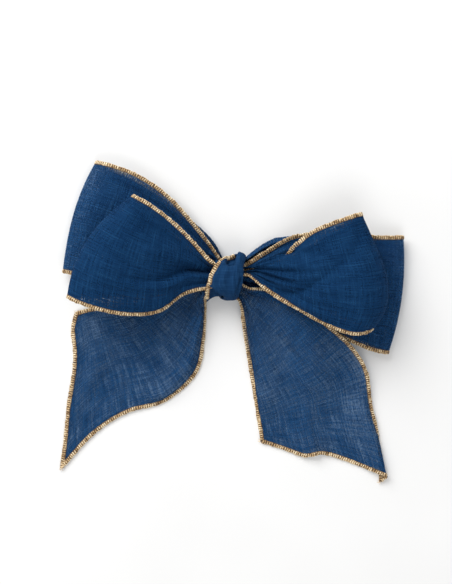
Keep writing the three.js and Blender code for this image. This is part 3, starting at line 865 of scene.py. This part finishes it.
def knot_wrap():
    """The band of ribbon round the middle, a closed ring with an outer and an inner face."""
    turns = np.linspace(0, 2 * math.pi, 241)[:-1, None]
    share = np.linspace(0, 1, 65)[None, :]
    outer = knot_surface(turns, share)
    inner = knot_surface(turns, share, WRAP_THICKNESS)[:, ::-1]
    p = np.concatenate([outer, inner], axis=1)
    faces = ring_faces(*p.shape[:2], closed=True)[:, ::-1].tolist()
    both = np.concatenate([share, share[:, ::-1]], axis=1)
    uv = np.stack(np.broadcast_arrays(turns * KNOT_R * MM, both * WRAP_WIDTH), -1)
    wrap = new_mesh("knot_wrap_linen", p.reshape(-1, 3), faces, knot_linen, uv.reshape(-1, 2))
    on_knot(wrap, "knot_wrap")


# The wrap's selvedge leaves the knot at its lower left and runs down to the left tail's, mm.
RUN_DOWN = [(-16.6, -8.6, 31.5), (-17.0, -11.6, 28.8), (-17.3, -14.8, 25.0), (-17.7, -18.5, 20.6)]
RUN_INWARD = (3.0, 0.4, 0.6)
RUN_OVERLAP = 12           # points of the rim that the run down replaces


def knot_edging():
    """Gold edging over the top left of the wrap and down its left rim."""
    arc = np.radians(np.linspace(16, 103, 80))
    rim_edge = knot_surface(arc, np.full_like(arc, 0.02))
    rim_inner = knot_surface(arc, np.full_like(arc, 0.20))
    leave = [tuple(rim_edge[-RUN_OVERLAP] / MM), tuple(rim_edge[-1] / MM)]
    run = guide([*leave, *RUN_DOWN], np.linspace(0, 1, 61)) * MM
    edge = np.vstack([rim_edge[:-RUN_OVERLAP], run])
    inner = np.vstack([rim_inner[:-RUN_OVERLAP], run + np.array(RUN_INWARD) * MM])
    for piece in overlock("knot_wrap_overlock", edge, inner, gold, gold_core_painted_shade):
        on_knot(piece, "knot_wrap_edging")


# Sides of the fold that shows in shade under the knot's lower left, from its top down, mm.
FOLD_LEFT = [(-16.0, -8.6, 30.0), (-16.6, -12.5, 26.0), (-17.0, -16.5, 21.0), (-17.6, -21.5, 16.5)]
FOLD_RIGHT = [(-11, -7.0, 28), (-9.0, -11.0, 23), (-6.5, -15.0, 17), (-4.0, -18.0, 13)]


def under_fold():
    down = np.linspace(0, 1, 24)
    over = np.linspace(0, 1, 20)[None, :, None]
    p = guide(FOLD_LEFT, down)[:, None] * (1 - over) + guide(FOLD_RIGHT, down)[:, None] * over
    arch = (4 * over * (1 - over))[..., 0]
    p[..., 1] += arch * 2.6 * down[:, None]
    p[..., 2] -= arch * 2.0
    uv = np.stack(np.broadcast_arrays(down[:, None] * 20 * MM, over[..., 0] * 12 * MM), -1)
    on_knot(cloth_mesh("knot_wrap_under_fold_linen", p * MM, uv, knot_linen), "knot_wrap")


def gather(name, node, z, half_z, waist, half_y=12.3, x0=-10.5, x1=9):
    """Pleated ribbon drawn together inside the knot, narrowed by waist where the wire cinches it."""
    x = np.linspace(x0, x1, 30)[:, None]
    turn = np.linspace(0, 2 * math.pi, 121)[None, :-1]
    scale = 1 - waist * np.exp(-(((x + 0.5) / 2.6) ** 2))
    pleat = 1 + 0.07 * np.cos(14 * turn + 0.4 * np.sin(x * 0.3)) + 0.03 * np.cos(23 * turn)
    p = np.stack(np.broadcast_arrays(x, KNOT_Y + half_y * scale * pleat * np.cos(turn),
                                     z + half_z * scale * pleat * np.sin(turn)), -1) * MM
    faces = ring_faces(*p.shape[:2]).tolist() + end_faces(*p.shape[:2])
    uv = np.stack(np.broadcast_arrays(x * MM, turn * half_y * MM), -1).reshape(-1, 2)
    on_knot(new_mesh(name, p.reshape(-1, 3), faces, knot_linen, uv), node)


knot_wrap()
knot_edging()
under_fold()
gather("back_gather_linen", "back_ribbon_gather", z=8.6, half_z=5.5, waist=0.3)
gather("front_gather_linen", "front_ribbon_gather", z=24.4, half_z=7.8, waist=0.1)

for wire_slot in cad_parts["cinch_wire"].material_slots:
    wire_slot.material = cinch_green

# ---------------------------------------------------------------- floor, light, camera


def floor_material():
    m, t, out = nodes_of("pale_floor")
    tc = t.nodes.new("ShaderNodeTexCoord")
    grain = noise(t, tc.outputs["Object"], 6, 2.0)
    colour = ramp(t, grain, [(0.3, (0.84, 0.84, 0.835)), (0.7, (0.88, 0.88, 0.878))])
    b = t.nodes.new("ShaderNodeBsdfPrincipled")
    t.links.new(colour, b.inputs["Base Color"])
    b.inputs["Roughness"].default_value = 0.7
    b.inputs["Specular IOR Level"].default_value = 0.2
    t.links.new(b.outputs[0], out.inputs[0])
    return m


FLOOR = 3.0                # half the floor's side, m
corners = [(-FLOOR, -FLOOR, 0), (FLOOR, -FLOOR, 0), (FLOOR, FLOOR, 0), (-FLOOR, FLOOR, 0)]
floor = new_mesh("floor", corners, [(0, 1, 2, 3)], floor_material(), smooth_shade=False)


def studio_world(brightness):
    world = bpy.data.worlds.new("studio")
    bpy.context.scene.world = world
    world.use_nodes = True
    background = world.node_tree.nodes["Background"]
    background.inputs[0].default_value = (1.0, 1.0, 1.0, 1)
    background.inputs[1].default_value = brightness


def area_light(name, location, size, power):
    """A round soft light that looks at the knot."""
    data = bpy.data.lights.new(name, "AREA")
    data.shape = "DISK"
    data.size = size
    data.energy = power
    o = bpy.data.objects.new(name, data)
    o.location = location
    o.rotation_euler = (-Vector(location)).to_track_quat("-Z", "Y").to_euler()
    bpy.context.scene.collection.objects.link(o)


def camera_above(location, lens):
    """The camera, looking straight down."""
    data = bpy.data.cameras.new("camera")
    data.lens = lens
    data.sensor_width = 36
    data.clip_end = 10
    camera = bpy.data.objects.new("camera", data)
    camera.location = location
    bpy.context.scene.collection.objects.link(camera)
    bpy.context.scene.camera = camera


studio_world(0.50)
area_light("key", (-0.75, 1.05, 1.05), size=1.4, power=28)
area_light("fill", (0.1, -0.9, 1.3), size=1.0, power=6)
camera_above((-0.0017, -0.0134, 1.1), lens=80.7)
bpy.context.scene.view_settings.view_transform = "Standard"
